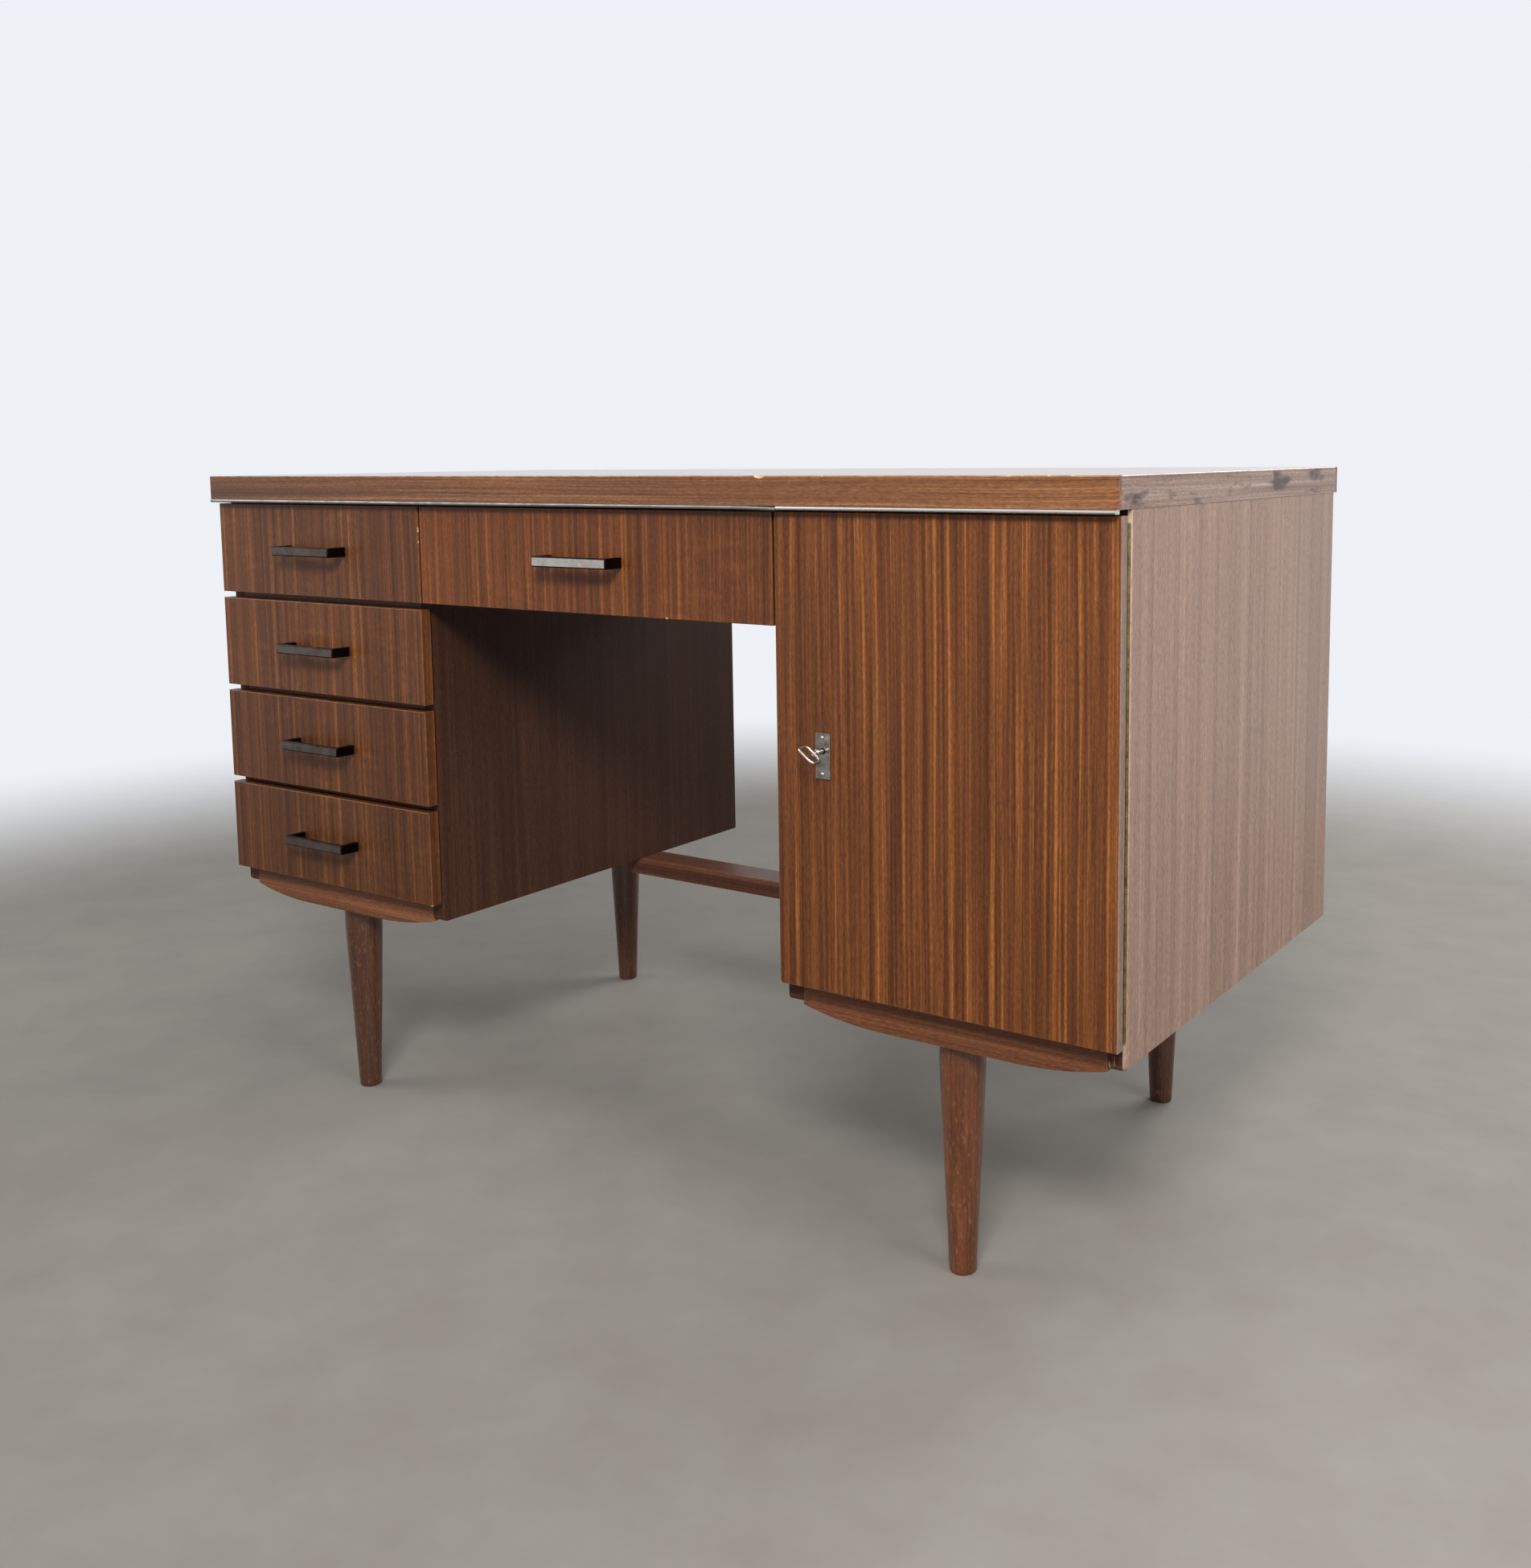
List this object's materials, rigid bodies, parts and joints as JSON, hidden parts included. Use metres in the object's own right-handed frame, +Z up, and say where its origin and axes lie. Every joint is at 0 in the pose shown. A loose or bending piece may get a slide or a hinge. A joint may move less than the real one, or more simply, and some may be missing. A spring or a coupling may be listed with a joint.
{
  "type": "writing desk",
  "caption": "Kneehole writing desk: a stack of drawers on the left, a locking cupboard on the right, a drawer between them, on tapered round legs.",
  "frame": {"origin": "on the floor, in the middle of the length and of the overall depth from the key bow to the rear edge of the desktop", "axes": "+X along the desk to the sitter's right, +Y from the sitter towards the back, +Z up"},
  "size_m": [1.2, 0.6016, 0.75],
  "materials": {
    "ribbon_veneer": "satin lacquer over ribbon-striped veneer",
    "desktop_veneer": "satin lacquer, horizontal grain",
    "edge_lipping": "satin lacquer, worn along the edges",
    "side_veneer": "dull satin lacquer, upright grain",
    "apron_wood": "satin lacquer",
    "turned_leg": "stained and lacquered beech",
    "carcass_board": "satin lacquer",
    "plain_softwood": "planed, unfinished",
    "hardboard": "smooth hardboard",
    "bright_aluminium": "polished, a little dented",
    "bronzed_handle": "dark bronzed with a brushed front",
    "nickel_plate": "worn nickel plate",
    "lock_steel": "plain steel",
    "hinge_brass": "tarnished brass"
  },
  "bodies": {
    "carcass": {"centre_drawer_runners": "plain_softwood", "cupboard_shelf": "carcass_board", "desktop_end_lippings": "edge_lipping", "desktop_front_lipping": "edge_lipping", "desktop_panel": "desktop_veneer", "desktop_rear_lipping": "edge_lipping", "drawer_divider_rails": "apron_wood", "drawer_runners": "plain_softwood", "front_left_leg": "turned_leg", "front_right_leg": "turned_leg", "front_trim_strip": "bright_aluminium", "hinge_pin": "hinge_brass", "hinge_side_leaf": "hinge_brass", "kneehole_stretcher": "apron_wood", "left_apron": "apron_wood", "left_pedestal_floor": "carcass_board", "left_pedestal_inner_side": "side_veneer", "left_pedestal_outer_side": "side_veneer", "leg_bolts": "lock_steel", "pedestal_backs": "hardboard", "pedestal_top_rails": "plain_softwood", "rear_left_leg": "turned_leg", "rear_right_leg": "turned_leg", "right_apron": "apron_wood", "right_pedestal_floor": "carcass_board", "right_pedestal_inner_side": "side_veneer", "right_pedestal_outer_side": "side_veneer", "shelf_pins": "lock_steel", "strike_plate": "lock_steel"},
    "drawer_1": {"drawer_1_back": "plain_softwood", "drawer_1_bottom": "hardboard", "drawer_1_front": "ribbon_veneer", "drawer_1_handle": "bronzed_handle", "drawer_1_sides": "plain_softwood"},
    "drawer_2": {"drawer_2_back": "plain_softwood", "drawer_2_bottom": "hardboard", "drawer_2_front": "ribbon_veneer", "drawer_2_handle": "bronzed_handle", "drawer_2_sides": "plain_softwood"},
    "drawer_3": {"drawer_3_back": "plain_softwood", "drawer_3_bottom": "hardboard", "drawer_3_front": "ribbon_veneer", "drawer_3_handle": "bronzed_handle", "drawer_3_sides": "plain_softwood"},
    "drawer_4": {"drawer_4_back": "plain_softwood", "drawer_4_bottom": "hardboard", "drawer_4_front": "ribbon_veneer", "drawer_4_handle": "bronzed_handle", "drawer_4_sides": "plain_softwood"},
    "centre_drawer": {"centre_drawer_back": "plain_softwood", "centre_drawer_bottom": "hardboard", "centre_drawer_front": "ribbon_veneer", "centre_drawer_handle": "bronzed_handle", "centre_drawer_sides": "plain_softwood"},
    "door": {"door_panel": "ribbon_veneer", "hinge_door_leaf": "hinge_brass", "lock_case": "lock_steel", "lock_plate": "nickel_plate"},
    "key": {"door_key": "nickel_plate"},
    "lock_bolt": {"lock_bolt": "lock_steel"}
  },
  "joints": [
    {"name": "drawer_1_slide", "type": "slide", "parent": "carcass", "child": "drawer_1", "axis": [0, -1, 0], "range_m": [0, 0.36]},
    {"name": "drawer_2_slide", "type": "slide", "parent": "carcass", "child": "drawer_2", "axis": [0, -1, 0], "range_m": [0, 0.36]},
    {"name": "drawer_3_slide", "type": "slide", "parent": "carcass", "child": "drawer_3", "axis": [0, -1, 0], "range_m": [0, 0.36]},
    {"name": "drawer_4_slide", "type": "slide", "parent": "carcass", "child": "drawer_4", "axis": [0, -1, 0], "range_m": [0, 0.36]},
    {"name": "centre_drawer_slide", "type": "slide", "parent": "carcass", "child": "centre_drawer", "axis": [0, -1, 0], "range_m": [0, 0.3]},
    {"name": "door_swing", "type": "hinge", "parent": "carcass", "child": "door", "pos_m": [0.598, -0.25505, 0.4896], "axis": [0, 0, 1], "range_deg": [0, 110]},
    {"name": "key_turn", "type": "hinge", "parent": "door", "child": "key", "pos_m": [0.3002, -0.3008, 0.4944], "axis": [0, -1, 0], "range_deg": [0, 90]},
    {"name": "bolt_throw", "type": "slide", "parent": "door", "child": "lock_bolt", "axis": [-1, 0, 0], "range_m": [0, 0.008]}
  ],
  "couplings": [
    {"joint": "bolt_throw", "follows": "key_turn", "m_per_rad": 0.00509}
  ]
}
